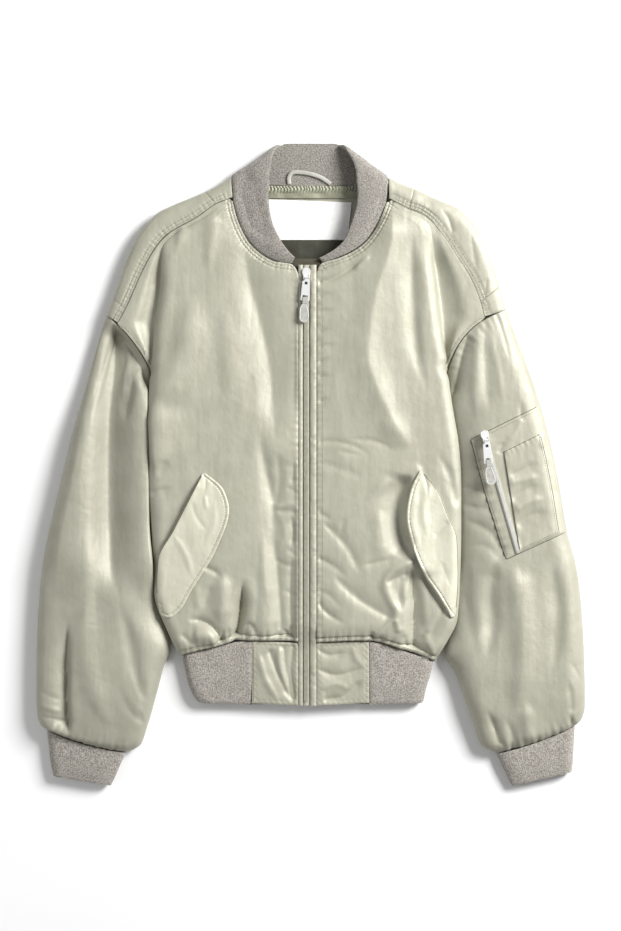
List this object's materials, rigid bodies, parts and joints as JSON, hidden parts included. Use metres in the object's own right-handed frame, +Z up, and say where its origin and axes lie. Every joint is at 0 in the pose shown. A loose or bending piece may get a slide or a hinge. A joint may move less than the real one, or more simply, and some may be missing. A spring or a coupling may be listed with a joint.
{
  "type": "bomber jacket",
  "caption": "Zipped satin bomber jacket laid flat: rib-knit collar, cuffs and hem, slanted pocket flaps, sleeve pocket with its own zip, lifting zip pulls.",
  "frame": {"origin": "middle of the garment's footprint, on the surface that it lies on", "axes": "+Y from hem to collar, +X towards the wearer's left sleeve, +Z up out of the surface"},
  "size_m": [0.6875, 0.806, 0.0402],
  "materials": {
    "satin": "padded nylon satin, pale sage green with a soft sheen",
    "rib": "melange rib knit, grey taupe, matt",
    "lining": "plain dark olive lining",
    "label": "blank white woven label",
    "tape": "woven zip tape with metal teeth",
    "metal": "polished silver-coloured zip hardware",
    "tag": "soft moulded zip tag, grey white"
  },
  "bodies": {
    "root": {"back": "satin", "front_right": "satin", "front_left": "satin", "sleeve_right": "satin", "sleeve_left": "satin", "lower_sleeve_right": "satin", "lower_sleeve_left": "satin", "shoulder_band_right": "satin", "shoulder_band_left": "satin", "shoulder_strip_right": "satin", "shoulder_strip_left": "satin", "shoulder_tip_right": "satin", "shoulder_tip_left": "satin", "hem_tab_right": "satin", "hem_tab_left": "satin", "placket_right": "satin", "placket_left": "satin", "zip_guard": "satin", "neck_facing": "satin", "hanger_loop": "satin", "flap_right": "satin", "flap_left": "satin", "sleeve_pocket": "satin", "pen_pocket": "satin", "collar": "rib", "hem_rib": "rib", "cuff_right": "rib", "cuff_left": "rib", "back_lining": "lining", "label": "label", "zip_tape": "tape", "sleeve_zip_tape": "tape", "front_zip_slider": "metal", "sleeve_zip_slider": "metal"},
    "front_zip_puller": {"front_zip_pull": "metal", "front_zip_tag": "tag"},
    "sleeve_zip_puller": {"sleeve_zip_pull": "metal", "sleeve_zip_tag": "tag"}
  },
  "joints": [
    {"name": "front_zip_pull_lift", "type": "hinge", "parent": "root", "child": "front_zip_puller", "pos_m": [-0.0055, 0.233, 0.029], "axis": [-1, 0, 0], "range_deg": [0, 160]},
    {"name": "sleeve_zip_pull_lift", "type": "hinge", "parent": "root", "child": "sleeve_zip_puller", "pos_m": [0.218, 0.03, 0.03831], "axis": [-0.9781, -0.2079, 0], "range_deg": [0, 160]}
  ]
}
